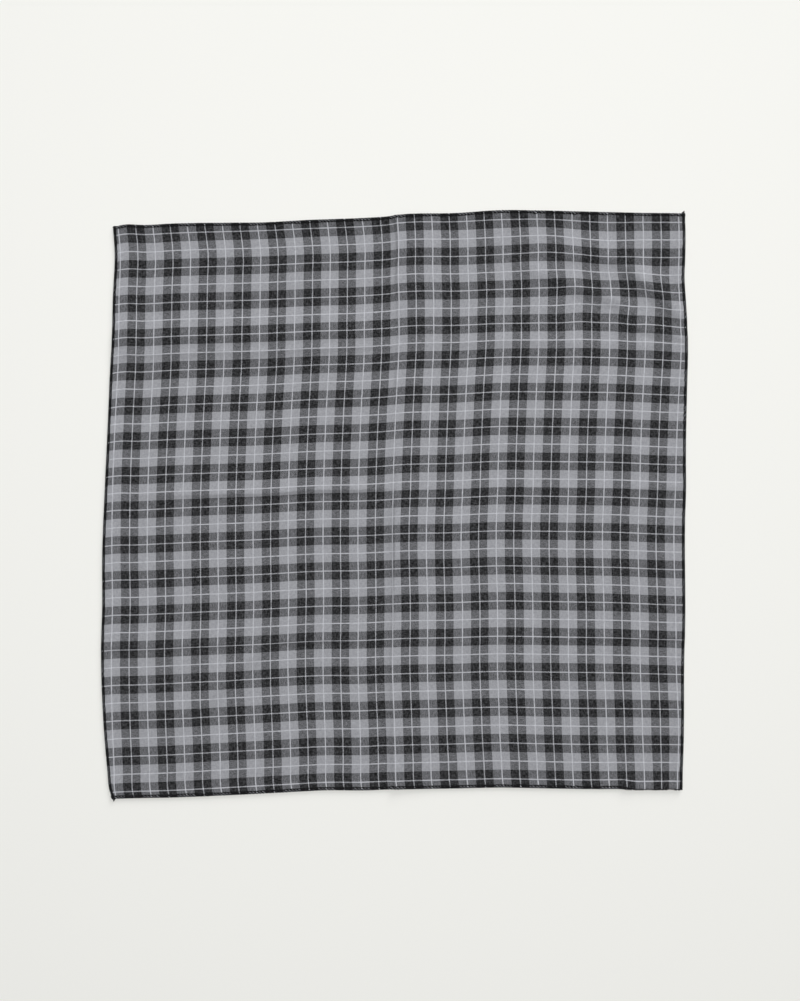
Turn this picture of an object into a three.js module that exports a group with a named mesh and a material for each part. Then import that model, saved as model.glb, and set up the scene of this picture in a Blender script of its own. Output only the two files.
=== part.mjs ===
// A square cotton bandana, spread out face up: one woven sheet with a thin overlocked bead round its edge.
// It lies flat where it touches, and lifts along its storage creases and at the wrinkles near one corner.
// Millimetres. +X runs to the right and +Y to the far edge of the spread cloth, +Z up, underside on Z = 0.

import * as THREE from "three";
import { mergeVertices } from "three/addons/utils/BufferGeometryUtils.js";

// The sheet, cut square, and the longest step between grid lines: over plain cloth and over wrinkles
const FLAT_SIDE = 530;
const PLAIN_STEP = 16;
const WRINKLE_STEP = 10;

// The sheet's thickness from its edge inwards: the overlocked bead of the hem, then plain cloth
const HEM_PROFILE = [
  { inset: 0, thickness: 1 },
  { inset: 1.5, thickness: 1.8 },
  { inset: 3, thickness: 1.6 },
  { inset: 4.5, thickness: 1.3 },
];

// Where the four corners of the spread cloth lie
const CORNERS = {
  farLeft: { x: -255, y: 252 },
  farRight: { x: 263.5, y: 264.5 },
  nearLeft: { x: -255.5, y: -266.5 },
  nearRight: { x: 261, y: -257.5 },
};

// How far each edge bows out of the straight line between its corners.
// The share runs from left to right, or from the far corner to the near one.
const FAR_EDGE = [
  { share: 0, bow: 0 },
  { share: 0.02, bow: 2 },
  { share: 0.055, bow: 1.2 },
  { share: 0.1, bow: 1.9 },
  { share: 0.2, bow: 1.5 },
  { share: 0.26, bow: 1 },
  { share: 0.34, bow: 2.2 },
  { share: 0.44, bow: 2.9 },
  { share: 0.48, bow: 3.7 },
  { share: 0.505, bow: 5 },
  { share: 0.6, bow: 5.3 },
  { share: 0.68, bow: 6.9 },
  { share: 0.74, bow: 5.9 },
  { share: 0.83, bow: 3.7 },
  { share: 0.93, bow: 1.3 },
  { share: 1, bow: 0 },
];
const NEAR_EDGE = [
  { share: 0, bow: 0 },
  { share: 0.03, bow: -0.3 },
  { share: 0.1, bow: -0.35 },
  { share: 0.2, bow: -1.5 },
  { share: 0.3, bow: -3.2 },
  { share: 0.38, bow: -4.5 },
  { share: 0.44, bow: -3.8 },
  { share: 0.49, bow: -4.3 },
  { share: 0.6, bow: -4.1 },
  { share: 0.68, bow: -4.2 },
  { share: 0.76, bow: -3 },
  { share: 0.85, bow: -1.7 },
  { share: 0.91, bow: -1 },
  { share: 1, bow: 0 },
];
const LEFT_EDGE = [
  { share: 0, bow: 0 },
  { share: 0.04, bow: -1.5 },
  { share: 0.13, bow: 0.1 },
  { share: 0.21, bow: 1.1 },
  { share: 0.235, bow: 2 },
  { share: 0.34, bow: 4.4 },
  { share: 0.45, bow: 7 },
  { share: 0.58, bow: 9.5 },
  { share: 0.66, bow: 9.4 },
  { share: 0.74, bow: 10.4 },
  { share: 0.8, bow: 9.9 },
  { share: 0.87, bow: 8.1 },
  { share: 0.95, bow: 4.6 },
  { share: 0.985, bow: 2.6 },
  { share: 1, bow: 0 },
];
const RIGHT_EDGE = [
  { share: 0, bow: 0 },
  { share: 0.03, bow: 0.6 },
  { share: 0.08, bow: 0.5 },
  { share: 0.105, bow: 0 },
  { share: 0.16, bow: 1.6 },
  { share: 0.235, bow: 3.4 },
  { share: 0.31, bow: 2.7 },
  { share: 0.42, bow: 2 },
  { share: 0.48, bow: 2.3 },
  { share: 0.53, bow: 1.6 },
  { share: 0.72, bow: 2 },
  { share: 0.76, bow: 1.5 },
  { share: 0.92, bow: 1.2 },
  { share: 1, bow: 0 },
];

// Folds, each a ridge along a line: where it lies as shares of the cloth's sides, how far its flank reaches
// on the side before it and the side after it, and its height. First the storage creases, the far one
// doubled over its left half where more layers lay between.
const FAR_CREASE = [
  { across: 0, along: 0.226, before: 9, after: 8, height: 1.6 },
  { across: 0.11, along: 0.2255, before: 9, after: 8, height: 2.2 },
  { across: 0.27, along: 0.225, before: 9, after: 8, height: 2.4 },
  { across: 0.44, along: 0.225, before: 9, after: 7, height: 2.1 },
  { across: 0.52, along: 0.225, before: 10, after: 7, height: 1.2 },
  { across: 0.72, along: 0.226, before: 10, after: 7, height: 1.2 },
  { across: 0.8, along: 0.227, before: 9, after: 7, height: 0.7 },
  { across: 1, along: 0.23, before: 9, after: 7, height: 0.7 },
];
const SECOND_FAR_CREASE = [
  { across: 0, along: 0.197, before: 22, after: 30, height: 2.3 },
  { across: 0.12, along: 0.1967, before: 26, after: 30, height: 3.2 },
  { across: 0.3, along: 0.1967, before: 26, after: 30, height: 3.4 },
  { across: 0.46, along: 0.197, before: 24, after: 26, height: 2.4 },
  { across: 0.6, along: 0.198, before: 14, after: 14, height: 1 },
  { across: 0.76, along: 0.199, before: 12, after: 8, height: 0 },
];
const MIDDLE_CREASE = [
  { across: 0, along: 0.472, before: 12, after: 6, height: 0.7 },
  { across: 0.12, along: 0.473, before: 18, after: 6, height: 1 },
  { across: 0.17, along: 0.474, before: 20, after: 5.5, height: 2 },
  { across: 0.28, along: 0.4742, before: 20, after: 5.5, height: 2.3 },
  { across: 0.46, along: 0.4745, before: 20, after: 5.5, height: 2 },
  { across: 0.52, along: 0.478, before: 14, after: 6, height: 0.8 },
  { across: 0.72, along: 0.48, before: 12, after: 7, height: 0.9 },
  { across: 1, along: 0.475, before: 12, after: 7, height: 0.9 },
];
const NEAR_CREASE = [
  { across: 0, along: 0.737, before: 13, after: 6, height: 1.3 },
  { across: 0.2, along: 0.736, before: 13, after: 5.5, height: 1.5 },
  { across: 0.38, along: 0.7362, before: 14, after: 5.5, height: 1.8 },
  { across: 0.48, along: 0.739, before: 13, after: 6, height: 1.2 },
  { across: 0.6, along: 0.746, before: 12, after: 9, height: 0.9 },
  { across: 0.76, along: 0.739, before: 12, after: 7, height: 0.9 },
  { across: 0.88, along: 0.7365, before: 13, after: 6, height: 1.8 },
  { across: 1, along: 0.736, before: 13, after: 6, height: 1.6 },
];
const LENGTH_CREASE = [
  { across: 0.503, along: 0, before: 60, after: 9, height: 2.6 },
  { across: 0.501, along: 0.14, before: 60, after: 9, height: 2.4 },
  { across: 0.503, along: 0.27, before: 60, after: 9, height: 0.9 },
  { across: 0.51, along: 0.43, before: 50, after: 9, height: 1.2 },
  { across: 0.512, along: 0.54, before: 50, after: 9, height: 2.6 },
  { across: 0.509, along: 0.66, before: 55, after: 9, height: 1.9 },
  { across: 0.4985, along: 0.78, before: 60, after: 9, height: 2.4 },
  { across: 0.4965, along: 1, before: 60, after: 9, height: 2.9 },
];

// Then what handling left: three slanting wrinkles near the far right corner, a nip at the middle of the
// cloth and a soft swell
const FIRST_WRINKLE = [
  { across: 0.7, along: 0.06, before: 16, after: 12, height: 0 },
  { across: 0.776, along: 0.074, before: 18, after: 9, height: 1.6 },
  { across: 0.815, along: 0.076, before: 18, after: 8, height: 3 },
  { across: 0.861, along: 0.08, before: 18, after: 8, height: 2.4 },
  { across: 0.9, along: 0.093, before: 18, after: 8, height: 3 },
  { across: 0.927, along: 0.12, before: 18, after: 8, height: 4.8 },
  { across: 0.955, along: 0.147, before: 16, after: 8, height: 4.6 },
  { across: 1, along: 0.186, before: 14, after: 9, height: 1.8 },
];
const SECOND_WRINKLE = [
  { across: 0.68, along: 0.08, before: 14, after: 10, height: 0 },
  { across: 0.737, along: 0.105, before: 13, after: 8, height: 2.2 },
  { across: 0.776, along: 0.121, before: 12, after: 8, height: 2.2 },
  { across: 0.812, along: 0.133, before: 12, after: 8, height: 3.2 },
  { across: 0.848, along: 0.145, before: 12, after: 8, height: 2.8 },
  { across: 0.885, along: 0.158, before: 11, after: 8, height: 2.8 },
  { across: 0.91, along: 0.185, before: 10, after: 8, height: 0.8 },
];
const THIRD_WRINKLE = [
  { across: 0.85, along: 0.196, before: 10, after: 7, height: 0 },
  { across: 0.9, along: 0.197, before: 10, after: 7, height: 1.6 },
  { across: 0.955, along: 0.205, before: 10, after: 7, height: 2.2 },
  { across: 1, along: 0.219, before: 10, after: 7, height: 1.8 },
];
const NIP = [
  { across: 0.48, along: 0.53, before: 10, after: 6, height: 0 },
  { across: 0.51, along: 0.497, before: 12, after: 6, height: 1.6 },
  { across: 0.54, along: 0.468, before: 12, after: 6, height: 1.4 },
  { across: 0.58, along: 0.44, before: 10, after: 6, height: 0 },
];
const SWELL = [
  { across: 0.44, along: 0.6, before: 18, after: 24, height: 0 },
  { across: 0.34, along: 0.69, before: 13, after: 24, height: 1.6 },
  { across: 0.25, along: 0.765, before: 11, after: 24, height: 3 },
  { across: 0.18, along: 0.83, before: 11, after: 24, height: 2.8 },
  { across: 0.11, along: 0.9, before: 16, after: 24, height: 0 },
];

// How a flank curves up to its crest: the power of its rise, for pressed folds and for loose ones
const PRESSED = 1.25;
const LOOSE = 1.35;
const FOLD_STEPS = 24;

// One column of a table, read between its rows: in a smooth curve, or in straight lines
const smoothly = THREE.CubicInterpolant;
const straight = THREE.LinearInterpolant;
function readColumn(Reader, rows, key, column, at) {
  const keys = rows.map((row) => row[key]);
  const values = rows.map((row) => row[column]);
  return new Reader(keys, values, 1).evaluate(at)[0];
}

// A point on the straight line between two corners, moved out by the edge's bow
function edgePoint(from, to, edge, share, outX, outY) {
  const bow = readColumn(smoothly, edge, "share", "bow", share);
  return {
    x: THREE.MathUtils.lerp(from.x, to.x, share) + outX * bow,
    y: THREE.MathUtils.lerp(from.y, to.y, share) + outY * bow,
  };
}

// The plan of the cloth: its four bowed edges, blended across the middle
function planPoint(across, along) {
  const { farLeft, farRight, nearLeft, nearRight } = CORNERS;
  const far = edgePoint(farLeft, farRight, FAR_EDGE, across, 0, 1);
  const near = edgePoint(nearLeft, nearRight, NEAR_EDGE, across, 0, -1);
  const left = edgePoint(farLeft, nearLeft, LEFT_EDGE, along, -1, 0);
  const right = edgePoint(farRight, nearRight, RIGHT_EDGE, along, 1, 0);
  const blend = (axis) => {
    const lengthwise = THREE.MathUtils.lerp(far[axis], near[axis], along);
    const crosswise = THREE.MathUtils.lerp(left[axis], right[axis], across);
    const farCorners = THREE.MathUtils.lerp(farLeft[axis], farRight[axis], across);
    const nearCorners = THREE.MathUtils.lerp(nearLeft[axis], nearRight[axis], across);
    return lengthwise + crosswise - THREE.MathUtils.lerp(farCorners, nearCorners, along);
  };
  return { x: blend("x"), y: blend("y") };
}

// A fold's line on the flat cloth, as many points joined by short steps
function drawFold(points, rise) {
  const places = points.map(({ across, along }) => new THREE.Vector2(across, along).multiplyScalar(FLAT_SIDE));
  const rows = points.map((point, index) => ({ ...point, run: 0, x: places[index].x, y: places[index].y }));
  for (let index = 1; index < rows.length; index += 1) {
    rows[index].run = rows[index - 1].run + places[index].distanceTo(places[index - 1]);
  }
  const read = (column, run) => readColumn(smoothly, rows, "run", column, run);
  const line = [];
  for (let step = 0; step <= FOLD_STEPS; step += 1) {
    const run = (rows.at(-1).run * step) / FOLD_STEPS;
    line.push({
      place: new THREE.Vector2(read("x", run), read("y", run)),
      before: read("before", run),
      after: read("after", run),
      height: read("height", run),
    });
  }
  return { line, rise };
}

// A fold's height over one point of the flat cloth
function foldLift({ line, rise }, point) {
  let lift = 0;
  for (let index = 1; index < line.length; index += 1) {
    const [start, end] = [line[index - 1], line[index]];
    const step = end.place.clone().sub(start.place);
    const past = point.clone().sub(start.place);
    const part = THREE.MathUtils.clamp(past.dot(step) / step.lengthSq(), 0, 1);
    const aside = past.sub(step.clone().multiplyScalar(part));
    const side = step.cross(aside) < 0 ? "before" : "after";
    const reach = THREE.MathUtils.lerp(start[side], end[side], part);
    const height = THREE.MathUtils.lerp(start.height, end.height, part);
    lift = Math.max(lift, height * Math.max(0, 1 - aside.length() / reach) ** rise);
  }
  return lift;
}

const farLine = drawFold(FAR_CREASE, PRESSED);
const secondFarLine = drawFold(SECOND_FAR_CREASE, PRESSED);
const middleLine = drawFold(MIDDLE_CREASE, PRESSED);
const nearLine = drawFold(NEAR_CREASE, PRESSED);
const lengthLine = drawFold(LENGTH_CREASE, PRESSED);
const wrinkles = [FIRST_WRINKLE, SECOND_WRINKLE, THIRD_WRINKLE, NIP, SWELL];
const wrinkleLines = wrinkles.map((points) => drawFold(points, LOOSE));
const folds = [farLine, secondFarLine, middleLine, nearLine, lengthLine, ...wrinkleLines];

// How far the underside stands off the surface
function liftAt(across, along) {
  const point = new THREE.Vector2(across, along).multiplyScalar(FLAT_SIDE);
  return Math.max(...folds.map((fold) => foldLift(fold, point)));
}

// The sheet's thickness, by the distance to its nearest edge
function thicknessAt(across, along) {
  const inset = FLAT_SIDE * Math.min(across, 1 - across, along, 1 - along);
  return readColumn(straight, HEM_PROFILE, "inset", "thickness", inset);
}

// Grid lines that run with a crease, at these offsets from it
const creaseFeet = (fold, offsets) => offsets.map((offset) => ({ fold, offset, step: PLAIN_STEP }));
const COLUMN_MARKS = [
  ...creaseFeet(lengthLine, [-9, -4, 0, 20]),
  { fold: null, offset: 0.64 * FLAT_SIDE, step: PLAIN_STEP },
];
const ROW_MARKS = [
  { fold: secondFarLine, offset: -13, step: WRINKLE_STEP },
  ...creaseFeet(secondFarLine, [0, 8]),
  ...creaseFeet(farLine, [0, 4, 8]),
  ...creaseFeet(middleLine, [-10, 0, 3, 6]),
  ...creaseFeet(nearLine, [-7, 0, 3, 6]),
];

// Where a fold crosses a grid line, read along its points
function foldPlace(fold, run, runAxis, placeAxis) {
  const rows = fold.line.map(({ place }) => ({ run: place[runAxis], place: place[placeAxis] }));
  return readColumn(straight, rows, "run", "place", run);
}

// Millimetres to every mark from one edge of the cloth to the other, at one run along the creases
function markPlaces(marks, run, runAxis, placeAxis) {
  const hem = HEM_PROFILE.map((row) => row.inset);
  const places = marks.map(({ fold, offset }) =>
    fold ? foldPlace(fold, run, runAxis, placeAxis) + offset : offset,
  );
  return [...hem, ...places, ...hem.map((inset) => FLAT_SIDE - inset).reverse()];
}

// How many steps lie before each mark, and the longest allowed for the last stretch of plain cloth
function stepCounts(marks, lastStep, runAxis, placeAxis) {
  const places = markPlaces(marks, FLAT_SIDE / 2, runAxis, placeAxis);
  const longest = [...marks.map(({ step }) => step), lastStep];
  return places.slice(1).map((place, index) => {
    const allowed = longest[index - HEM_PROFILE.length + 1] ?? PLAIN_STEP;
    return Math.ceil((place - places[index]) / allowed);
  });
}

// The place of one grid line, part of the way along the creases
function gridPlace(number, marks, counts, run, runAxis, placeAxis) {
  const places = markPlaces(marks, run, runAxis, placeAxis);
  let index = 0;
  let left = number;
  while (index < counts.length - 1 && left > counts[index]) {
    left -= counts[index];
    index += 1;
  }
  return THREE.MathUtils.lerp(places[index], places[index + 1], left / counts[index]);
}

// A thin box, divided along the grid lines and moved onto the spread cloth
function clothGeometry() {
  const columnCounts = stepCounts(COLUMN_MARKS, WRINKLE_STEP, "y", "x");
  const rowCounts = stepCounts(ROW_MARKS, PLAIN_STEP, "x", "y");
  const columns = columnCounts.reduce((sum, count) => sum + count);
  const rows = rowCounts.reduce((sum, count) => sum + count);
  const geometry = new THREE.BoxGeometry(1, 1, 1, columns, rows, 1);
  const places = geometry.attributes.position;
  for (let index = 0; index < places.count; index += 1) {
    const [acrossPart, alongPart] = [places.getX(index) + 0.5, 0.5 - places.getY(index)];
    const [column, row] = [Math.round(acrossPart * columns), Math.round(alongPart * rows)];
    const across = gridPlace(column, COLUMN_MARKS, columnCounts, alongPart * FLAT_SIDE, "y", "x") / FLAT_SIDE;
    const along = gridPlace(row, ROW_MARKS, rowCounts, across * FLAT_SIDE, "x", "y") / FLAT_SIDE;
    const plan = planPoint(across, along);
    const lift = liftAt(across, along);
    const top = places.getZ(index) > 0 ? thicknessAt(across, along) : 0;
    places.setXYZ(index, plan.x, plan.y, lift + top);
  }
  geometry.deleteAttribute("normal");
  geometry.deleteAttribute("uv");
  const cloth = mergeVertices(geometry);
  cloth.computeBoundingBox();
  const middle = cloth.boundingBox.getCenter(new THREE.Vector3());
  cloth.translate(-middle.x, -middle.y, -cloth.boundingBox.min.z);
  cloth.computeVertexNormals();
  return cloth;
}

const cottonCheck = new THREE.MeshStandardMaterial({ color: 0x68686c, roughness: 0.9, metalness: 0 });
const bandana = new THREE.Mesh(clothGeometry(), cottonCheck);
bandana.name = "bandana";

const spreadBandana = new THREE.Group();
spreadBandana.add(bandana);

export default spreadBandana;
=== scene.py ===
import math
from collections import namedtuple

import bpy
import numpy as np
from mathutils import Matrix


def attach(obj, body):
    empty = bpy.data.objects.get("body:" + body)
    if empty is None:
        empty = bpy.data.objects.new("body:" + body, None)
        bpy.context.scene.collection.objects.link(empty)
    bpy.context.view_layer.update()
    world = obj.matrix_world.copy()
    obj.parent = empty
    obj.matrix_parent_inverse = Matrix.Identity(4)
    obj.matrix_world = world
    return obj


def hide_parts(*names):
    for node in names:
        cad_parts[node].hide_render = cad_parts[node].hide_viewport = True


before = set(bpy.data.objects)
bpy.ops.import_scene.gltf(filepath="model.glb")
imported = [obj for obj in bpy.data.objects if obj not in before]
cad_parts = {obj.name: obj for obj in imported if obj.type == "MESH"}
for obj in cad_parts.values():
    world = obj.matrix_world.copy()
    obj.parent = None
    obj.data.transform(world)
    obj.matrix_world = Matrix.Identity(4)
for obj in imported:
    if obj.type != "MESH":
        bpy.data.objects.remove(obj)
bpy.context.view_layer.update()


# The cloth: one square of yarn-dyed cotton in plain weave, spread out by hand with its face up. It lies
# flat on the table but for the ridges that storage folding left in it and the wrinkles by one corner.
MM = 0.001
FLAT_SIDE = 530
CLOTH_THICKNESS = 0.4

Corner = namedtuple("Corner", "x y")
FAR_LEFT, FAR_RIGHT = Corner(-255, 252), Corner(263.5, 264.5)
NEAR_LEFT, NEAR_RIGHT = Corner(-255.5, -266.5), Corner(261, -257.5)

# Each edge from left to right, or from far to near: how far it bows out of the straight line between
# its corners in millimetres, and how many pitches of the check lie between it and the first white line.
EdgeRow = namedtuple("EdgeRow", "share bow margin")
FAR_EDGE = [
    EdgeRow(0, 0, 0.5),
    EdgeRow(0.02, 2, 0.52),
    EdgeRow(0.055, 1.2, 0.53),
    EdgeRow(0.1, 1.9, 0.54),
    EdgeRow(0.2, 1.5, 0.51),
    EdgeRow(0.26, 1, 0.48),
    EdgeRow(0.34, 2.2, 0.5),
    EdgeRow(0.44, 2.9, 0.5),
    EdgeRow(0.48, 3.7, 0.49),
    EdgeRow(0.505, 5, 0.49),
    EdgeRow(0.6, 5.3, 0.5),
    EdgeRow(0.68, 6.9, 0.54),
    EdgeRow(0.74, 5.9, 0.54),
    EdgeRow(0.83, 3.7, 0.54),
    EdgeRow(0.93, 1.3, 0.53),
    EdgeRow(1, 0, 0.53),
]
NEAR_EDGE = [
    EdgeRow(0, 0, 0.38),
    EdgeRow(0.03, -0.3, 0.39),
    EdgeRow(0.1, -0.35, 0.41),
    EdgeRow(0.2, -1.5, 0.44),
    EdgeRow(0.3, -3.2, 0.45),
    EdgeRow(0.38, -4.5, 0.43),
    EdgeRow(0.44, -3.8, 0.45),
    EdgeRow(0.49, -4.3, 0.48),
    EdgeRow(0.6, -4.1, 0.49),
    EdgeRow(0.68, -4.2, 0.49),
    EdgeRow(0.76, -2.75, 0.49),
    EdgeRow(0.85, -1.3, 0.47),
    EdgeRow(0.91, -0.85, 0.48),
    EdgeRow(1, 0, 0.47),
]
LEFT_EDGE = [
    EdgeRow(0, 0, 0.3),
    EdgeRow(0.04, -1.5, 0.33),
    EdgeRow(0.13, 0.1, 0.37),
    EdgeRow(0.21, 1.1, 0.42),
    EdgeRow(0.235, 2, 0.45),
    EdgeRow(0.34, 4.4, 0.43),
    EdgeRow(0.45, 7, 0.45),
    EdgeRow(0.58, 9.5, 0.56),
    EdgeRow(0.66, 9.4, 0.59),
    EdgeRow(0.74, 10.4, 0.59),
    EdgeRow(0.8, 9.9, 0.56),
    EdgeRow(0.87, 8.1, 0.5),
    EdgeRow(0.95, 4.6, 0.39),
    EdgeRow(0.985, 2.6, 0.3),
    EdgeRow(1, 0, 0.25),
]
RIGHT_EDGE = [
    EdgeRow(0, 0, 0.37),
    EdgeRow(0.03, 0.6, 0.37),
    EdgeRow(0.08, 0.5, 0.36),
    EdgeRow(0.105, 0, 0.35),
    EdgeRow(0.16, 1.6, 0.37),
    EdgeRow(0.235, 3.4, 0.39),
    EdgeRow(0.31, 2.7, 0.46),
    EdgeRow(0.42, 2, 0.55),
    EdgeRow(0.48, 2.3, 0.6),
    EdgeRow(0.53, 1.6, 0.62),
    EdgeRow(0.72, 2, 0.52),
    EdgeRow(0.76, 1.5, 0.48),
    EdgeRow(0.92, 1.2, 0.29),
    EdgeRow(1, 0, 0.3),
]

# Folds, each a ridge along a line: where it lies as shares of the cloth's sides, how far its flanks reach
# on the left hand as one follows the line (before) and on the right hand (after), and its height, in
# millimetres. First the storage creases, the far one doubled over its left half where more layers lay.
FoldPoint = namedtuple("FoldPoint", "across along before after height")
ACROSS, ALONG, BEFORE, AFTER, HEIGHT = range(len(FoldPoint._fields))
FAR_CREASE = [
    FoldPoint(0, 0.226, 9, 8, 1.6),
    FoldPoint(0.11, 0.2255, 9, 8, 2.2),
    FoldPoint(0.27, 0.225, 9, 8, 2.4),
    FoldPoint(0.44, 0.225, 9, 7, 2.1),
    FoldPoint(0.52, 0.225, 10, 7, 1.2),
    FoldPoint(0.72, 0.226, 10, 7, 1.2),
    FoldPoint(0.8, 0.227, 9, 7, 0.7),
    FoldPoint(1, 0.23, 9, 7, 0.7),
]
MIDDLE_CREASE = [
    FoldPoint(0, 0.472, 12, 6, 0.7),
    FoldPoint(0.12, 0.473, 18, 6, 1),
    FoldPoint(0.17, 0.474, 20, 5.5, 2),
    FoldPoint(0.28, 0.4742, 20, 5.5, 2.3),
    FoldPoint(0.46, 0.4745, 20, 5.5, 2),
    FoldPoint(0.52, 0.478, 14, 6, 0.8),
    FoldPoint(0.72, 0.48, 12, 7, 0.9),
    FoldPoint(1, 0.475, 12, 7, 0.9),
]
NEAR_CREASE = [
    FoldPoint(0, 0.737, 13, 6, 1.3),
    FoldPoint(0.2, 0.736, 13, 5.5, 1.5),
    FoldPoint(0.38, 0.7362, 14, 5.5, 1.8),
    FoldPoint(0.48, 0.739, 13, 6, 1.2),
    FoldPoint(0.6, 0.746, 12, 9, 0.9),
    FoldPoint(0.76, 0.739, 12, 7, 0.9),
    FoldPoint(0.88, 0.7365, 13, 6, 1.8),
    FoldPoint(1, 0.736, 13, 6, 1.6),
]
LENGTH_CREASE = [
    FoldPoint(0.495, 0, 60, 15, 2.6),
    FoldPoint(0.499, 0.14, 60, 15, 2.4),
    FoldPoint(0.498, 0.27, 60, 9, 0.9),
    FoldPoint(0.5015, 0.43, 50, 9, 1.2),
    FoldPoint(0.503, 0.54, 50, 9, 2.6),
    FoldPoint(0.502, 0.66, 55, 9, 1.9),
    FoldPoint(0.5, 0.78, 60, 9, 2.4),
    FoldPoint(0.498, 1, 60, 9, 2.9),
]
SECOND_FAR_CREASE = [
    FoldPoint(0, 0.197, 22, 30, 2.3),
    FoldPoint(0.12, 0.1967, 26, 30, 3.2),
    FoldPoint(0.3, 0.1967, 26, 30, 3.4),
    FoldPoint(0.46, 0.197, 24, 26, 2.4),
    FoldPoint(0.6, 0.198, 14, 14, 1),
    FoldPoint(0.76, 0.199, 12, 8, 0),
]

# Then what handling left: three wrinkles that slant to one side, a nip in the middle and a soft swell
FIRST_WRINKLE = [
    FoldPoint(0.7, 0.06, 16, 12, 0),
    FoldPoint(0.776, 0.074, 18, 9, 1.6),
    FoldPoint(0.815, 0.076, 18, 8, 3),
    FoldPoint(0.861, 0.08, 18, 8, 2.4),
    FoldPoint(0.9, 0.093, 18, 8, 3),
    FoldPoint(0.927, 0.12, 18, 8, 4.8),
    FoldPoint(0.955, 0.147, 16, 8, 4.6),
    FoldPoint(1, 0.186, 14, 9, 1.8),
]
SECOND_WRINKLE = [
    FoldPoint(0.68, 0.08, 14, 10, 0),
    FoldPoint(0.737, 0.105, 13, 8, 2.2),
    FoldPoint(0.776, 0.121, 12, 8, 2.2),
    FoldPoint(0.812, 0.133, 12, 8, 3.2),
    FoldPoint(0.848, 0.145, 12, 8, 2.8),
    FoldPoint(0.885, 0.158, 11, 8, 2.8),
    FoldPoint(0.91, 0.185, 10, 8, 0.8),
]
THIRD_WRINKLE = [
    FoldPoint(0.85, 0.196, 10, 7, 0),
    FoldPoint(0.9, 0.197, 10, 7, 1.6),
    FoldPoint(0.955, 0.205, 10, 7, 2.2),
    FoldPoint(1, 0.219, 10, 7, 1.8),
]
NIP = [
    FoldPoint(0.48, 0.53, 10, 6, 0),
    FoldPoint(0.51, 0.497, 12, 6, 1.6),
    FoldPoint(0.54, 0.468, 12, 6, 1.4),
    FoldPoint(0.58, 0.44, 10, 6, 0),
]
SWELL = [
    FoldPoint(0.44, 0.6, 18, 24, 0),
    FoldPoint(0.34, 0.69, 13, 24, 1.6),
    FoldPoint(0.25, 0.765, 11, 24, 3),
    FoldPoint(0.18, 0.83, 11, 24, 2.8),
    FoldPoint(0.11, 0.9, 16, 24, 0),
]

# Where it was pressed hardest, the length crease is pinched into a narrow crest: its height at shares of
# the way along the cloth, and how far its flanks reach to the right and to the left, in millimetres
Pinch = namedtuple("Pinch", "share height")
LENGTH_PINCH = [
    Pinch(0, 1.6),
    Pinch(0.12, 1.6),
    Pinch(0.16, 0.7),
    Pinch(0.25, 0.7),
    Pinch(0.29, 1),
    Pinch(0.34, 0.1),
    Pinch(0.45, 0.1),
    Pinch(0.52, 0.9),
    Pinch(0.65, 1.1),
    Pinch(0.71, 0.4),
    Pinch(0.77, 0.9),
    Pinch(0.83, 0.5),
    Pinch(1, 0.5),
]
PINCH_RIGHT, PINCH_LEFT = 4, 2.4

# How sharply each kind of fold comes to its crest, and the radius there: ironed in by a long press, set
# while folded, or left loose
Sharpness = namedtuple("Sharpness", "power radius")
PRESSED, DOUBLED, LOOSE = Sharpness(1.25, 0.5), Sharpness(1.25, 0.8), Sharpness(1.35, 2)

# A fold's line is drawn in short steps and wanders from side to side, and folds that meet join softly
FOLD_STEPS = 24
WANDER, WANDER_LENGTH = 0.45, 71
JOIN_POWER = 3

# Slack that a hand has not smoothed out, as long low waves: wavelength, height and heading in degrees
Slack = namedtuple("Slack", "wavelength height heading")
SLACK_WAVES = [
    Slack(150, 0.3, 25),
    Slack(97, 0.22, 112),
    Slack(71, 0.14, 64),
    Slack(53, 0.1, 151),
]

# The cut edge lies back inside its thread, which holds the hem off the table: how far back, how high, and
# from where inwards that lift fades and is gone
EDGE_BACK = 0.25
HEM_LIFT, HEM_LIFT_WHOLE, HEM_LIFT_REACH = 1.2, 3.6, 12

# By the near right corner the edge is turned under: the shares of the near edge where that begins and is
# full, the cloth past the bend, the bend's radius and how far in from it the cloth settles
TURN_FROM, TURN_FULL = 0.885, 0.925
TURN_LENGTH = 4.6
TURN_RADIUS = 0.65
TURN_REACH = 16


def smooth_between(knots, values, at):
    """Values at their knots, read as a smooth curve at each place."""
    slopes = np.gradient(values, knots)
    left = np.clip(np.searchsorted(knots, at, side="right") - 1, 0, len(knots) - 2)
    span = knots[left + 1] - knots[left]
    part = (at - knots[left]) / span
    rise = values[left + 1] - values[left]
    lead = part * (1 - part) ** 2 * span * slopes[left]
    trail = part * part * (1 - part) * span * slopes[left + 1]
    return values[left] + rise * part * part * (3 - 2 * part) + lead - trail


def smooth_read(rows, column, share):
    """One column of a table's rows, read as a smooth curve at each share."""
    knots = np.array([row.share for row in rows])
    return smooth_between(knots, np.array([getattr(row, column) for row in rows]), share)


def draw_fold(fold):
    """A fold's line on the flat cloth in many short steps, wandering a little from side to side."""
    points = np.array(fold)
    points[:, :2] *= FLAT_SIDE
    chords = np.hypot(*np.diff(points[:, :2], axis=0).T)
    knots = np.concatenate([[0], np.cumsum(chords)])
    at = np.linspace(0, knots[-1], FOLD_STEPS + 1)
    line = np.stack([smooth_between(knots, values, at) for values in points.T], axis=1)
    heading = np.gradient(line[:, :2], at, axis=0)
    aside = WANDER * np.sin(math.tau * at / WANDER_LENGTH + knots[-1] + points[0, ALONG])
    line[:, ACROSS] -= aside * heading[:, ALONG]
    line[:, ALONG] += aside * heading[:, ACROSS]
    return line


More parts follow.
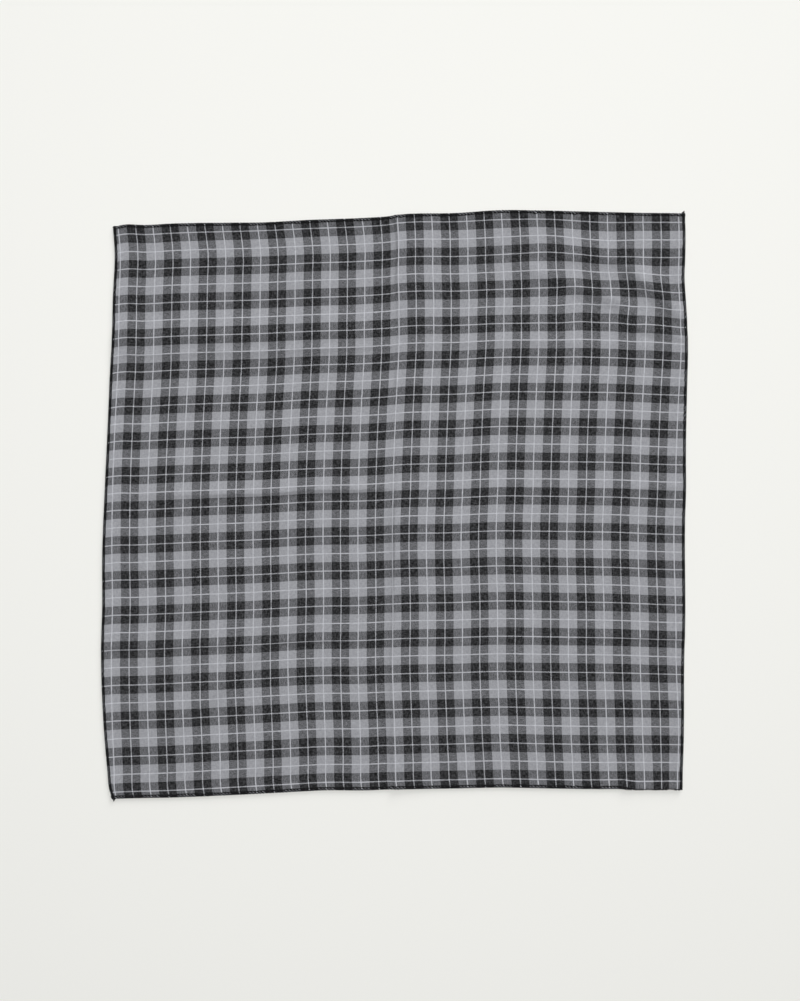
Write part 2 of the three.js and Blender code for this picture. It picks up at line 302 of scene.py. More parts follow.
def plan_point(across, along):
    """Where the flat cloth's shares lie in plan: its four bowed edges, blended across the middle."""
    far, near = smooth_read(FAR_EDGE, "bow", across), smooth_read(NEAR_EDGE, "bow", across)
    left, right = smooth_read(LEFT_EDGE, "bow", along), smooth_read(RIGHT_EDGE, "bow", along)
    corners = []
    for axis in (0, 1):
        far_side = FAR_LEFT[axis] + (FAR_RIGHT[axis] - FAR_LEFT[axis]) * across
        near_side = NEAR_LEFT[axis] + (NEAR_RIGHT[axis] - NEAR_LEFT[axis]) * across
        corners.append(far_side + (near_side - far_side) * along)
    x = corners[0] - left * (1 - across) + right * across
    y = corners[1] + far * (1 - along) - near * along
    return x, y


def fold_lift(line, sharpness, across, along):
    """How high a drawn fold lifts each point of the cloth."""
    lift = 0
    for start, step in zip(line[:-1], np.diff(line, axis=0)):
        past_across = FLAT_SIDE * across - start[ACROSS]
        past_along = FLAT_SIDE * along - start[ALONG]
        onward = past_across * step[ACROSS] + past_along * step[ALONG]
        part = np.clip(onward / (step[ACROSS] ** 2 + step[ALONG] ** 2), 0, 1)
        aside_across = past_across - part * step[ACROSS]
        aside_along = past_along - part * step[ALONG]
        aside = np.sqrt(aside_across**2 + aside_along**2 + sharpness.radius**2) - sharpness.radius
        on_before_side = step[ACROSS] * aside_along < step[ALONG] * aside_across
        before, after = start[BEFORE] + part * step[BEFORE], start[AFTER] + part * step[AFTER]
        flank = np.clip(1 - aside / np.where(on_before_side, before, after), 0, 1) ** sharpness.power
        lift = np.maximum(lift, (start[HEIGHT] + part * step[HEIGHT]) * flank)
    return lift


def slack_lift(x, y):
    """The low waves of the slack, never under the table."""
    height = 0
    for wave in SLACK_WAVES:
        heading = math.radians(wave.heading)
        way = x * math.cos(heading) + y * math.sin(heading)
        height = height + wave.height * np.sin(math.tau * way / wave.wavelength + wave.heading)
    return np.maximum(height, 0)


def ease(value, start, full):
    """From 0 at start to 1 at full, easing in and out."""
    part = np.clip((value - start) / (full - start), 0, 1)
    return part * part * (3 - 2 * part)


def turned_under(across):
    """The length of cloth past the bend along the near edge, and how far the bend stands out."""
    length = TURN_LENGTH * ease(across, TURN_FROM, TURN_FULL)
    return length, TURN_RADIUS * np.sin(np.minimum(length / TURN_RADIUS, math.pi / 2))


cross_lines = [draw_fold(fold) for fold in (FAR_CREASE, MIDDLE_CREASE, NEAR_CREASE)]
length_line = draw_fold(LENGTH_CREASE)
second_far_line = draw_fold(SECOND_FAR_CREASE)
pinch_line = length_line.copy()
pinch_line[:, BEFORE] = PINCH_RIGHT
pinch_line[:, AFTER] = PINCH_LEFT
pinch_line[:, HEIGHT] = smooth_read(LENGTH_PINCH, "height", length_line[:, ALONG] / FLAT_SIDE)
wrinkles = (FIRST_WRINKLE, SECOND_WRINKLE, THIRD_WRINKLE, NIP, SWELL)
wrinkle_lines = [draw_fold(fold) for fold in wrinkles]


def join_lifts(lifts):
    """Lifts that meet, joined softly into one."""
    return sum(lift**JOIN_POWER for lift in lifts) ** (1 / JOIN_POWER)


def ridge_lift(across, along):
    """How high the folds lift each point of the cloth."""
    ridges = [fold_lift(line, PRESSED, across, along) for line in (*cross_lines[1:], length_line)]
    ridges += [fold_lift(line, DOUBLED, across, along) for line in (cross_lines[0], second_far_line)]
    ridges += [fold_lift(line, LOOSE, across, along) for line in wrinkle_lines]
    return join_lifts(ridges) + fold_lift(pinch_line, PRESSED, across, along)


def lie(across, along):
    """The middle of the cloth's thickness at each pair of shares, in millimetres."""
    x, y = plan_point(across, along)
    inset = FLAT_SIDE * np.minimum(np.minimum(across, 1 - across), np.minimum(along, 1 - along))
    hem_lift = HEM_LIFT * (1 - ease(inset, HEM_LIFT_WHOLE, HEM_LIFT_REACH))
    lift = join_lifts([ridge_lift(across, along), slack_lift(x, y), hem_lift])
    near_inset = FLAT_SIDE * (1 - along)
    length, stands_out = turned_under(across)
    stretch = (length - stands_out) * np.minimum(near_inset / TURN_REACH, 1)
    past_bend = length - near_inset - stretch
    angle = np.clip(past_bend / TURN_RADIUS, 0, math.pi)
    out = TURN_RADIUS * np.sin(angle) - np.maximum(past_bend - math.pi * TURN_RADIUS, 0)
    y = y + stands_out + np.maximum(-past_bend, 0) - out - near_inset
    whole_angle = np.minimum(length / TURN_RADIUS, math.pi)
    lift = lift + TURN_RADIUS * (1 - np.cos(whole_angle)) * (1 - ease(-past_bend, 0, TURN_REACH))
    lift = lift - TURN_RADIUS * (1 - np.cos(angle))
    return np.stack([x, y, lift + CLOTH_THICKNESS / 2], axis=-1)


# The grid is closer set along the hem, where the cloth can turn under, and along the creases. Its lines
# are set out on a finer count of so many to each step.
GRID_STEPS = 222
FINE_PER_STEP = 20
HEM_STRIP, HEM_CLOSER = 5.5, 3.6
CREASE_STRIP, CREASE_CLOSER = 4, 4


def grid_shares(crease_places):
    """Shares from edge to edge, closer set near the edges and the creases."""
    fine = np.linspace(0, 1, FINE_PER_STEP * GRID_STEPS + 1)
    inset = FLAT_SIDE * np.minimum(fine, 1 - fine)
    closeness = 1 + HEM_CLOSER * (inset < HEM_STRIP)
    for place in crease_places:
        offset = (FLAT_SIDE * fine - place) / CREASE_STRIP
        closeness = closeness + CREASE_CLOSER * np.exp(-(offset**2))
    steps_passed = np.concatenate([[0], np.cumsum((closeness[1:] + closeness[:-1]) / 2)])
    even = np.linspace(0, steps_passed[-1], GRID_STEPS + 1)
    back = EDGE_BACK / FLAT_SIDE
    return back + (1 - 2 * back) * np.interp(even, steps_passed, fine)


def bend_shares(shares, usual, lines, runs, run_column):
    """Grid shares that bend with the creases, as one row for each run along the creases."""
    rows = []
    for run in FLAT_SIDE * runs:
        places = [np.interp(run, line[:, run_column], line[:, 1 - run_column]) for line in lines]
        rows.append(np.interp(FLAT_SIDE * shares, [0, *usual, FLAT_SIDE], [0, *places, FLAT_SIDE]))
    return np.stack(rows) / FLAT_SIDE


usual_across = [length_line[:, ACROSS].mean()]
usual_along = [line[:, ALONG].mean() for line in cross_lines]
shares_across, shares_along = grid_shares(usual_across), grid_shares(usual_along)
grid_across = bend_shares(shares_across, usual_across, [length_line], shares_along, ALONG)
grid_along = bend_shares(shares_along, usual_along, cross_lines, shares_across, ACROSS).T
lying = lie(grid_across, grid_along)
middle = (lying[..., :2].min(axis=(0, 1)) + lying[..., :2].max(axis=(0, 1))) / 2
lying[..., :2] -= middle

# Folds take up lengthwise yarns as if they were this many times as high, since they crimp them as well.
# The first white line each way is number 0 and the last number 32.
LAST_LINE = 32
PITCH = 16.1
TAKE_UP = 1.6

# The yarns creep from an even count across the cloth and along it, in pitches
Creep = namedtuple("Creep", "share across along")
CREEP = [
    Creep(0, 0, -0.008),
    Creep(0.25, -0.02, 0.082),
    Creep(0.5, 0.045, 0.159),
    Creep(0.64, 0.1, 0.173),
    Creep(0.78, 0.09, 0.148),
    Creep(0.9, 0.05, 0.082),
    Creep(1, 0, 0.012),
]

# The hem has pulled the yarns aside where it was sewn: how far, in pitches, over which stretch of the
# side it begins and ends, and how deep into the cloth it reaches
Pull = namedtuple("Pull", "aside begins full fades ends depth")
FAR_PULL = Pull(0.085, 0.03, 0.16, 0.4, 0.5, 0.07)
NEAR_PULL = Pull(-0.18, 0.4, 0.68, 0.95, 0.99, 0.1)
LEFT_PULL = Pull(-0.045, 0, 0.03, 0.97, 1, 0.22)
RIGHT_PULL = Pull(-0.125, 0, 0.3, 0.72, 0.95, 0.15)

# The wrinkles have dragged the yarns round them: how far across and along the cloth, in pitches, and
# within how many millimetres
Drag = namedtuple("Drag", "across along aside onward reach")
DRAGS = [
    Drag(0.67, 0.115, -0.07, -0.04, 48),
    Drag(0.751, 0.064, -0.03, 0.14, 25),
    Drag(0.797, 0.112, -0.08, 0.08, 20),
    Drag(0.863, 0.052, 0, -0.1, 26),
    Drag(0.882, 0.139, -0.12, 0.1, 19),
    Drag(0.933, 0.167, -0.11, 0, 16),
    Drag(0.957, 0.21, 0, -0.06, 30),
]

# Past the wrinkles each run of yarn has straightened beside its neighbours
STRAIGHT_FROM, STRAIGHT_FULL = 0.14, 0.32
STRAIGHT_SPREAD = 45


def count_lines(points, before, after):
    """The number of white lines passed at each point of each run of yarn."""
    step = np.linalg.norm(np.diff(points, axis=1), axis=2)
    length = np.concatenate([np.zeros((len(step), 1)), np.cumsum(step, axis=1)], axis=1)
    return (LAST_LINE + before + after)[:, None] * length / length[:, -1:] - before[:, None]


def pulled(pull, way, inset):
    """How far a side's hem has pulled the yarns, some way along that side and in from it."""
    stretch = ease(way, pull.begins, pull.full) - ease(way, pull.fades, pull.ends)
    return pull.aside * stretch * (1 - ease(inset, 0, pull.depth))


turned, bend_out = turned_under(grid_across[-1])
hidden = EDGE_BACK / PITCH
left_margin = smooth_read(LEFT_EDGE, "margin", grid_along[:, 0]) - hidden
right_margin = smooth_read(RIGHT_EDGE, "margin", grid_along[:, -1]) - hidden
far_margin = smooth_read(FAR_EDGE, "margin", grid_across[0]) - hidden
near_margin = smooth_read(NEAR_EDGE, "margin", grid_across[-1]) - hidden + (turned - bend_out) / PITCH
taken_up = lying.copy()
taken_up[..., 2] += (TAKE_UP - 1) * ridge_lift(grid_across, grid_along)
line_across = count_lines(lying, left_margin, right_margin)
line_along = count_lines(taken_up.transpose(1, 0, 2), far_margin, near_margin).T
apart = FLAT_SIDE * (shares_across[:, None] - shares_across) / STRAIGHT_SPREAD
beside = np.exp(-(apart**2) / 2) * np.gradient(shares_across)
beside /= beside.sum(axis=1, keepdims=True)
straight = ease(grid_along, STRAIGHT_FROM, STRAIGHT_FULL)
slipped = line_along - LAST_LINE * grid_along
line_along = LAST_LINE * grid_along + (1 - straight) * slipped + straight * (slipped @ beside.T)
line_across = line_across + smooth_read(CREEP, "across", grid_across)
line_along = line_along + smooth_read(CREEP, "along", grid_along)
line_across += pulled(FAR_PULL, grid_across, grid_along) + pulled(NEAR_PULL, grid_across, 1 - grid_along)
line_along += pulled(LEFT_PULL, grid_along, grid_across) + pulled(RIGHT_PULL, grid_along, 1 - grid_across)
for drag in DRAGS:
    away = FLAT_SIDE * np.hypot(grid_across - drag.across, grid_along - drag.along)
    close_by = np.exp(-((away / drag.reach) ** 2))
    line_across += drag.aside * close_by
    line_along += drag.onward * close_by

bpy.ops.object.select_all(action="DESELECT")
bpy.ops.mesh.primitive_grid_add(x_subdivisions=GRID_STEPS, y_subdivisions=GRID_STEPS, size=1)
cloth = bpy.context.object
cloth.name = cloth.data.name = "bandana_cloth"
places = np.empty(len(cloth.data.vertices) * 3)
cloth.data.vertices.foreach_get("co", places)
places = places.reshape(-1, 3)
column = np.rint((places[:, 0] + 0.5) * GRID_STEPS).astype(int)
row = np.rint((0.5 - places[:, 1]) * GRID_STEPS).astype(int)
cloth.data.vertices.foreach_set("co", (lying[row, column] * MM).ravel())

# Two maps follow the yarns: one counts white lines for the weave, the other fits a unit square
corner_vertex = np.empty(len(cloth.data.loops), dtype=np.int32)
cloth.data.loops.foreach_get("vertex_index", corner_vertex)
yarn_lines = np.stack([line_across[row, column], line_along[row, column]], axis=1)
unit_square = (yarn_lines + 1) / (LAST_LINE + 2)
cloth.data.uv_layers.remove(cloth.data.uv_layers[0])
for map_name, values in (("yarn_lines", yarn_lines), ("OFBake", unit_square)):
    layer = cloth.data.uv_layers.new(name=map_name)
    layer.data.foreach_set("uv", values[corner_vertex].ravel())

# Along the cut edge only the yarns that run out to it are left, the rest have frayed away
FRAYED_TO, WHOLE_FROM = 2, 3
to_side = FLAT_SIDE * np.minimum(grid_across, 1 - grid_across)
to_end = FLAT_SIDE * np.minimum(grid_along, 1 - grid_along)
for ends, inset in (("weft_ends", to_side), ("warp_ends", to_end)):
    frayed = cloth.data.attributes.new(ends, "FLOAT", "POINT")
    frayed.data.foreach_set("value", (1 - ease(inset, FRAYED_TO, WHOLE_FROM))[row, column])
cloth.data.update()

wall = cloth.modifiers.new("cloth_thickness", "SOLIDIFY")
wall.thickness = CLOTH_THICKNESS * MM
wall.offset = 0
bpy.ops.object.modifier_apply(modifier=wall.name)
bpy.ops.object.shade_smooth()

# The weave: black, grey and white cotton yarns, each over and under the next. Black and grey bands are
# one pitch wide both ways, and every band has a thin white line along its middle.
YARNS_PER_PITCH = 48
WHITE_LINE_HALF = 0.034
BLACK_YARN, GREY_YARN, WHITE_YARN = 0.0268, 0.388, 0.65
YARN_TINT = (0.98, 0.995, 1.065)
UNDER_SHOWS = 0.15
DARKEST_SHADE = 0.3 * BLACK_YARN

# How far yarns stand out of the weave, where a yarn's round top is 1: the wave over and under, the white
# lines in black and in grey bands, slubs and bare ends. Below the open height a crevice is painted
# in shade, darker the deeper it lies.
YARN_WAVE = 0.5
WHITE_STANDS_IN_BLACK, WHITE_STANDS_IN_GREY = -0.15, 1.1
SLUB_STANDS, ENDS_STAND = 0.95, 3
CREVICE_SHADE, OPEN_HEIGHT = 0.5, 1.2
YARN_BUMP, YARN_BUMP_MM = 0.35, 0.06

# Yarns are spun unevenly: how much a yarn's shade wanders, how far apart in the noise neighbours lie so
# that they differ, and how far the noise moves on from one crossing to the next
YARN_UNEVEN = 0.3
NEIGHBOUR_STEP, CROSSING_STEP = 7.31, 0.12
WARP_SEED, WEFT_SEED = 3.7, 91.3

# Slubs, the thick and thin places of a few yarns together: their size in yarns, and their pale lint
SLUB_LENGTH, SLUB_WIDTH = 10, 3.6
LINT_SHADE = 0.22
WARP_SLUB_SEED, WEFT_SLUB_SEED = 17.3, 58.9

check_cotton = bpy.data.materials.new("check_cotton")
check_cotton.use_nodes = True
weave_nodes, weave_links = check_cotton.node_tree.nodes, check_cotton.node_tree.links


def work_out(operation, *terms):
    """A Math node of the weave on sockets or plain numbers, as its output socket."""
    node = weave_nodes.new("ShaderNodeMath")
    node.operation = operation
    for socket, term in zip(node.inputs, terms):
        if isinstance(term, bpy.types.NodeSocket):
            weave_links.new(term, socket)
        else:
            socket.default_value = term
    return node.outputs[0]


def yarn_shade(number, first_band):
    """A numbered yarn's shade, whether it is white, and how far it stands out of the weave."""
    place = work_out("DIVIDE", number, YARNS_PER_PITCH)
    band = work_out("ROUND", place)
    odd = work_out("FLOORED_MODULO", work_out("ADD", band, first_band), 2)
    shade = work_out("MULTIPLY_ADD", odd, GREY_YARN - BLACK_YARN, BLACK_YARN)
    aside = work_out("ABSOLUTE", work_out("SUBTRACT", place, band))
    white = work_out("LESS_THAN", aside, WHITE_LINE_HALF)
    rest = work_out("SUBTRACT", 1, white)
    shade = work_out("MULTIPLY_ADD", white, WHITE_YARN, work_out("MULTIPLY", rest, shade))
    more = WHITE_STANDS_IN_GREY - WHITE_STANDS_IN_BLACK
    stands = work_out("MULTIPLY_ADD", odd, more, WHITE_STANDS_IN_BLACK)
    return shade, white, work_out("MULTIPLY", white, stands)


def yarn_noise(number, yarn_step, along, along_step, seed):
    """Noise from 0 to 1 that moves on by one step from yarn to yarn and another along each yarn."""
    noise = weave_nodes.new("ShaderNodeTexNoise")
    noise.noise_dimensions = "2D"
    noise.inputs["Scale"].default_value = 1
    noise.inputs["Detail"].default_value = 2
    spot = weave_nodes.new("ShaderNodeCombineXYZ")
    weave_links.new(work_out("MULTIPLY_ADD", number, yarn_step, seed), spot.inputs["X"])
    weave_links.new(work_out("MULTIPLY", along, along_step), spot.inputs["Y"])
    weave_links.new(spot.outputs[0], noise.inputs["Vector"])
    return noise.outputs[0]


def uneven(number, along, seed):
    """How one yarn's shade wanders along it, about 1."""
    noise = yarn_noise(number, NEIGHBOUR_STEP, along, CROSSING_STEP, seed)
    return work_out("MULTIPLY_ADD", noise, 2 * YARN_UNEVEN, 1 - YARN_UNEVEN)


def slubs(number, along, seed):
    """Thick and thin places of a few neighbouring yarns, longer than wide, about 0."""
    noise = yarn_noise(number, 1 / SLUB_WIDTH, along, 1 / SLUB_LENGTH, seed)
    return work_out("SUBTRACT", noise, 0.5)


def yarn_height(place, number, crossing_place, side):
    """How high a yarn stands: round across itself, waving over and under the ones that it crosses."""
    wave = work_out("SINE", work_out("MULTIPLY", work_out("ADD", crossing_place, number), math.pi))
    off_middle = work_out("SUBTRACT", work_out("SUBTRACT", place, number), 0.5)
    round_top = work_out("COSINE", work_out("MULTIPLY", off_middle, math.pi))
    return work_out("MULTIPLY_ADD", wave, YARN_WAVE * side, round_top)


def bare(stands, ends):
    """Yarns brought to the top where those across them have frayed away."""
    frayed = weave_nodes.new("ShaderNodeAttribute")
    frayed.attribute_name = ends
    return work_out("MULTIPLY_ADD", frayed.outputs["Fac"], ENDS_STAND, stands)


yarn_map = weave_nodes.new("ShaderNodeUVMap")
yarn_map.uv_map = "yarn_lines"
line_place = weave_nodes.new("ShaderNodeSeparateXYZ")
weave_links.new(yarn_map.outputs[0], line_place.inputs[0])
warp_place = work_out("MULTIPLY_ADD", line_place.outputs["X"], YARNS_PER_PITCH, 0.5)
weft_place = work_out("MULTIPLY_ADD", line_place.outputs["Y"], YARNS_PER_PITCH, 0.5)
warp_number, weft_number = work_out("FLOOR", warp_place), work_out("FLOOR", weft_place)
warp_shade, warp_white, warp_stands = yarn_shade(warp_number, first_band=1)
weft_shade, weft_white, weft_stands = yarn_shade(weft_number, first_band=0)
warp_shade = work_out("MULTIPLY", warp_shade, uneven(warp_number, weft_place, WARP_SEED))
weft_shade = work_out("MULTIPLY", weft_shade, uneven(weft_number, warp_place, WEFT_SEED))
warp_slubs = slubs(warp_number, weft_place, WARP_SLUB_SEED)
weft_slubs = slubs(weft_number, warp_place, WEFT_SLUB_SEED)
warp_round = yarn_height(warp_place, warp_number, weft_place, side=1)
weft_round = yarn_height(weft_place, weft_number, warp_place, side=-1)
warp_stands = bare(work_out("MULTIPLY_ADD", warp_slubs, SLUB_STANDS, warp_stands), "warp_ends")
weft_stands = bare(work_out("MULTIPLY_ADD", weft_slubs, SLUB_STANDS, weft_stands), "weft_ends")
warp_height = work_out("ADD", warp_round, warp_stands)
weft_height = work_out("ADD", weft_round, weft_stands)
warp_on_top = work_out("GREATER_THAN", warp_height, weft_height)
weft_on_top = work_out("SUBTRACT", 1, warp_on_top)


def upper(warp, weft):
    """The first value where the warp lies on top, and the second where the weft does."""
    return work_out("MULTIPLY_ADD", warp_on_top, warp, work_out("MULTIPLY", weft_on_top, weft))


# The yarn on top gives the shade, with a little of the one under it, but for white, which covers well.
# Slubs add lint, and the crevices between yarns are painted darker, as shade that falls between them.
white_over = upper(warp_white, weft_white)
under_shows = work_out("MULTIPLY_ADD", white_over, -UNDER_SHOWS, UNDER_SHOWS)
shade_over = work_out("POWER", upper(warp_shade, weft_shade), work_out("SUBTRACT", 1, under_shows))
shade_under = work_out("POWER", upper(weft_shade, warp_shade), under_shows)
face_shade = work_out("MULTIPLY", shade_over, shade_under)
face_shade = work_out("MULTIPLY_ADD", upper(warp_slubs, weft_slubs), LINT_SHADE, face_shade)
face_shade = work_out("MAXIMUM", face_shade, DARKEST_SHADE)
# Painted shade: the colour darkens where the yarn on top dips into a crevice between yarns
open_to_light = work_out("DIVIDE", upper(warp_round, weft_round), OPEN_HEIGHT)
open_to_light = work_out("MINIMUM", work_out("MAXIMUM", open_to_light, 0), 1)
lit_share = work_out("MULTIPLY_ADD", open_to_light, CREVICE_SHADE, 1 - CREVICE_SHADE)
face_shade = work_out("MULTIPLY", face_shade, lit_share)
face_colour = weave_nodes.new("ShaderNodeCombineColor")
for socket, tint in zip(face_colour.inputs, YARN_TINT):
    weave_links.new(work_out("MULTIPLY", face_shade, tint), socket)

yarn_bump = weave_nodes.new("ShaderNodeBump")
yarn_bump.inputs["Strength"].default_value = YARN_BUMP
yarn_bump.inputs["Distance"].default_value = YARN_BUMP_MM * MM
weave_links.new(work_out("MAXIMUM", warp_height, weft_height), yarn_bump.inputs["Height"])
cotton = weave_nodes["Principled BSDF"]
cotton.inputs["Roughness"].default_value = 0.92
cotton.inputs["Specular IOR Level"].default_value = 0.2
cotton.inputs["Sheen Weight"].default_value = 0.08
cotton.inputs["Sheen Roughness"].default_value = 0.5
weave_links.new(face_colour.outputs[0], cotton.inputs["Base Color"])
weave_links.new(yarn_bump.outputs[0], cotton.inputs["Normal"])
cloth.data.materials.append(check_cotton)
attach(cloth, "root")
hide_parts("bandana")


# The hem: black spun thread overlocked round the cut edge by machine, one side after another clockwise.
# Strands slant over the face, wrap the edge and come back underneath, and a needle thread locks them.
STRAND_RADIUS = 0.37
STRAND_OFFSETS = (0, 0.62)
NEEDLE_THICKNESS = 1.15
NEEDLE_OFFSET = 1.6

# How far stitches slip along the side, in millimetres, and how much their width varies
STITCH_UNEVEN, SPREAD_UNEVEN = 0.12, 0.06
STITCH_SEED = 11

# Each side was sewn in one go: from stitch to stitch along it, from the outside of the thread to the
# needle line, and how far its thread runs on past the corner where it begins, in millimetres. Such a tail
# narrows to one place in the width.
Seam = namedtuple("Seam", "pitch width tail")
SEAMS = {
    "far": Seam(3.03, 2.55, 0),
    "right": Seam(2.32, 2.45, 1.6),
    "near": Seam(3.06, 2.75, 0),
    "left": Seam(2.32, 2.3, 1.8),
}
TAIL_MIDDLE = 0.45

# One stitch: share of the pitch, share of the stitch's width, and millimetres off the cloth's middle
StitchPoint = namedtuple("StitchPoint", "share inset height")
WRAP = [
    StitchPoint(0, 0.15, 0),
    StitchPoint(0.06, 0.21, 0.36),
    StitchPoint(0.3, 0.42, 0.54),
    StitchPoint(0.6, 0.7, 0.54),
    StitchPoint(0.84, 0.94, 0.34),
    StitchPoint(0.88, 0.98, -0.3),
    StitchPoint(0.92, 0.6, -0.54),
    StitchPoint(0.97, 0.25, -0.4),
]
NEEDLE = [
    StitchPoint(0.05, 1, 0.05),
    StitchPoint(0.3, 1.02, 0.48),
    StitchPoint(0.75, 1.02, 0.48),
    StitchPoint(0.96, 1, 0.05),
]
rng = np.random.default_rng(STITCH_SEED)


def hem_shares(side, travel, inset):
    """The cloth's shares at a share of the way along one side, clockwise, and an inset from it."""
    return {
        "far": (travel, inset / FLAT_SIDE),
        "right": (1 - inset / FLAT_SIDE, travel),
        "near": (1 - travel, 1 - inset / FLAT_SIDE),
        "left": (inset / FLAT_SIDE, 1 - travel),
    }[side]


def on_hem(side, travel, inset, height):
    """Points that follow one side's hem: along it, in from it and off the cloth."""
    nudge = 0.05
    step = nudge / FLAT_SIDE
    at = lie(*hem_shares(side, np.maximum(travel, 0), inset))
    inner = lie(*hem_shares(side, np.maximum(travel, 0), inset + nudge))
    onward = lie(*hem_shares(side, np.clip(travel + step, step, 1), inset))
    backward = lie(*hem_shares(side, np.maximum(travel - step, 0), inset))
    normal = np.cross(onward - backward, at - inner)
    normal /= np.linalg.norm(normal, axis=-1, keepdims=True)
    forward = (onward - backward) / np.linalg.norm(onward - backward, axis=-1, keepdims=True)
    past_corner = FLAT_SIDE * np.minimum(travel, 0)
    points = at + normal * height[..., None] + forward * past_corner[..., None]
    points[..., :2] -= middle
    return points


def stitch_line(side, stitch, slip, spread, offset):
    """One strand down a whole side, stitch after stitch."""
    pitch, width, tail = SEAMS[side]
    share, inset, height = (np.array(column) for column in zip(*stitch))
    number = np.arange(len(slip))[:, None] - math.ceil(tail / pitch)
    travel = ((number + share) * pitch + slip + offset) / FLAT_SIDE
    travel = np.clip(travel, -tail / FLAT_SIDE, 1)
    taper = np.clip(1 + travel * FLAT_SIDE / (tail + pitch), 0, 1)
    inset = width * (TAIL_MIDDLE + (inset * spread - TAIL_MIDDLE) * taper)
    height = height * taper
    return on_hem(side, travel.ravel(), inset.ravel(), height.ravel())


def hem_thread(side):
    """All the round thread of one side's hem as one mesh."""
    curve = bpy.data.curves.new("hem_thread_" + side, "CURVE")
    curve.dimensions = "3D"
    curve.bevel_depth = STRAND_RADIUS * MM
    curve.bevel_resolution = 1
    curve.use_fill_caps = True
    seam = SEAMS[side]
    stitches = math.ceil(FLAT_SIDE / seam.pitch) + math.ceil(seam.tail / seam.pitch)
    slip = rng.normal(0, STITCH_UNEVEN, (stitches, 1))
    spread = 1 + rng.normal(0, SPREAD_UNEVEN, (stitches, 1))
    lines = [(stitch_line(side, WRAP, slip, spread, offset), 1) for offset in STRAND_OFFSETS]
    lines.append((stitch_line(side, NEEDLE, slip, spread, NEEDLE_OFFSET), NEEDLE_THICKNESS))
    for line, thickness in lines:
        spline = curve.splines.new("POLY")
        spline.points.add(len(line) - 1)
        weighted = np.concatenate([line * MM, np.ones((len(line), 1))], axis=1)
        spline.points.foreach_set("co", weighted.ravel())
        spline.points.foreach_set("radius", np.full(len(line), thickness))
    piece = bpy.data.objects.new(curve.name, curve)
    bpy.context.collection.objects.link(piece)
    bpy.ops.object.select_all(action="DESELECT")
    piece.select_set(True)
    bpy.context.view_layer.objects.active = piece
    bpy.ops.object.convert(target="MESH")
    bpy.ops.object.shade_smooth()
    return piece


hem_threads = [hem_thread(side) for side in SEAMS]

# Its finish: matt black fibres spun together, some a shade lighter than others
FIBRES_PER_METRE = 2600
FIBRE_DARK, FIBRE_LIGHT = (0.003, 0.003, 0.0034, 1), (0.01, 0.01, 0.011, 1)
FIBRE_BUMP, FIBRE_BUMP_MM = 0.5, 0.05
black_thread = bpy.data.materials.new("black_thread")
black_thread.use_nodes = True
thread_nodes, thread_links = black_thread.node_tree.nodes, black_thread.node_tree.links
thread_place = thread_nodes.new("ShaderNodeTexCoord")
fibres = thread_nodes.new("ShaderNodeTexNoise")
fibres.inputs["Scale"].default_value = FIBRES_PER_METRE
fibres.inputs["Detail"].default_value = 3
thread_links.new(thread_place.outputs["Object"], fibres.inputs["Vector"])
thread_colour = thread_nodes.new("ShaderNodeValToRGB")
thread_colour.color_ramp.elements[0].color = FIBRE_DARK
thread_colour.color_ramp.elements[1].color = FIBRE_LIGHT
thread_links.new(fibres.outputs[0], thread_colour.inputs[0])
fibre_bump = thread_nodes.new("ShaderNodeBump")
fibre_bump.inputs["Strength"].default_value = FIBRE_BUMP
fibre_bump.inputs["Distance"].default_value = FIBRE_BUMP_MM * MM
thread_links.new(fibres.outputs[0], fibre_bump.inputs["Height"])
spun = thread_nodes["Principled BSDF"]
spun.inputs["Roughness"].default_value = 0.75
spun.inputs["Specular IOR Level"].default_value = 0.15
thread_links.new(thread_colour.outputs[0], spun.inputs["Base Color"])
thread_links.new(fibre_bump.outputs[0], spun.inputs["Normal"])
for piece in hem_threads:
    piece.data.materials.append(black_thread)
    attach(piece, "root")


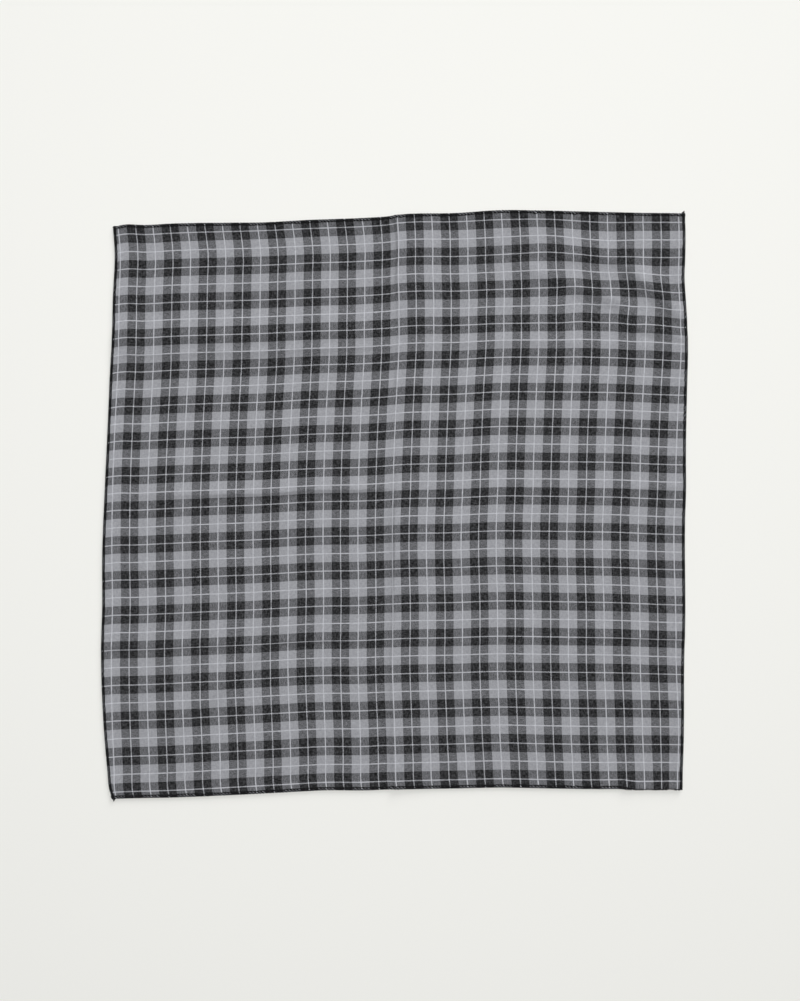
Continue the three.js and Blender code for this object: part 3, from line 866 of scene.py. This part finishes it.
# The table that the bandana is spread on: a plain flat top, painted off-white and matt. It is much wider
# than the cloth, and only its top is made.
TABLE_SIDE = 9
TABLE_COLOUR = (0.95, 0.95, 0.912, 1)
bpy.ops.object.select_all(action="DESELECT")
bpy.ops.mesh.primitive_plane_add(size=TABLE_SIDE, location=(0, 0, 0))
table = bpy.context.object
table.name = "table"
table_paint = bpy.data.materials.new("table_paint")
table_paint.use_nodes = True
matt = table_paint.node_tree.nodes["Principled BSDF"]
matt.inputs["Base Color"].default_value = TABLE_COLOUR
matt.inputs["Roughness"].default_value = 0.9
matt.inputs["Specular IOR Level"].default_value = 0.1
table.data.materials.append(table_paint)


# Studio light: an even white room, one large soft lamp overhead, a little beyond the middle, and a larger
# one far off beyond the far right corner, whose low light brings out the folds.
ROOM_LIGHT = 0.15
ROOM_COLOUR = (1, 1, 1, 1)
Lamp = namedtuple("Lamp", "name place side watts")
LAMPS = [
    Lamp("lamp_overhead", (0, 0.4, 3), 1.5, 59.5),
    Lamp("lamp_low", (3.2, 6.6, 3), 3.4, 325),
]
room = bpy.data.worlds.new("room")
room.use_nodes = True
room.node_tree.nodes["Background"].inputs["Strength"].default_value = ROOM_LIGHT
room.node_tree.nodes["Background"].inputs["Color"].default_value = ROOM_COLOUR
bpy.context.scene.world = room
for lamp in LAMPS:
    bpy.ops.object.light_add(type="AREA", location=lamp.place)
    light = bpy.context.object
    light.name = lamp.name
    light.data.size = lamp.side
    light.data.energy = lamp.watts
    light.rotation_euler = (-light.location).to_track_quat("-Z", "Y").to_euler()


# The camera stands over the cloth and looks straight down, as the photograph does. Its lens is chosen for
# the length of table that the frame takes in from near to far.
VIEW_ACROSS, VIEW_ALONG = 0.00495, 0.0036
VIEW_HEIGHT = 1.35
FRAME_LENGTH = 0.9079
SENSOR_MM = 36
camera_data = bpy.data.cameras.new("camera")
camera_data.sensor_width = SENSOR_MM
camera_data.lens = SENSOR_MM * VIEW_HEIGHT / FRAME_LENGTH
camera = bpy.data.objects.new("camera", camera_data)
camera.location = (VIEW_ACROSS, VIEW_ALONG, VIEW_HEIGHT)
bpy.context.collection.objects.link(camera)
bpy.context.scene.camera = camera
bpy.context.scene.view_settings.view_transform = "Standard"
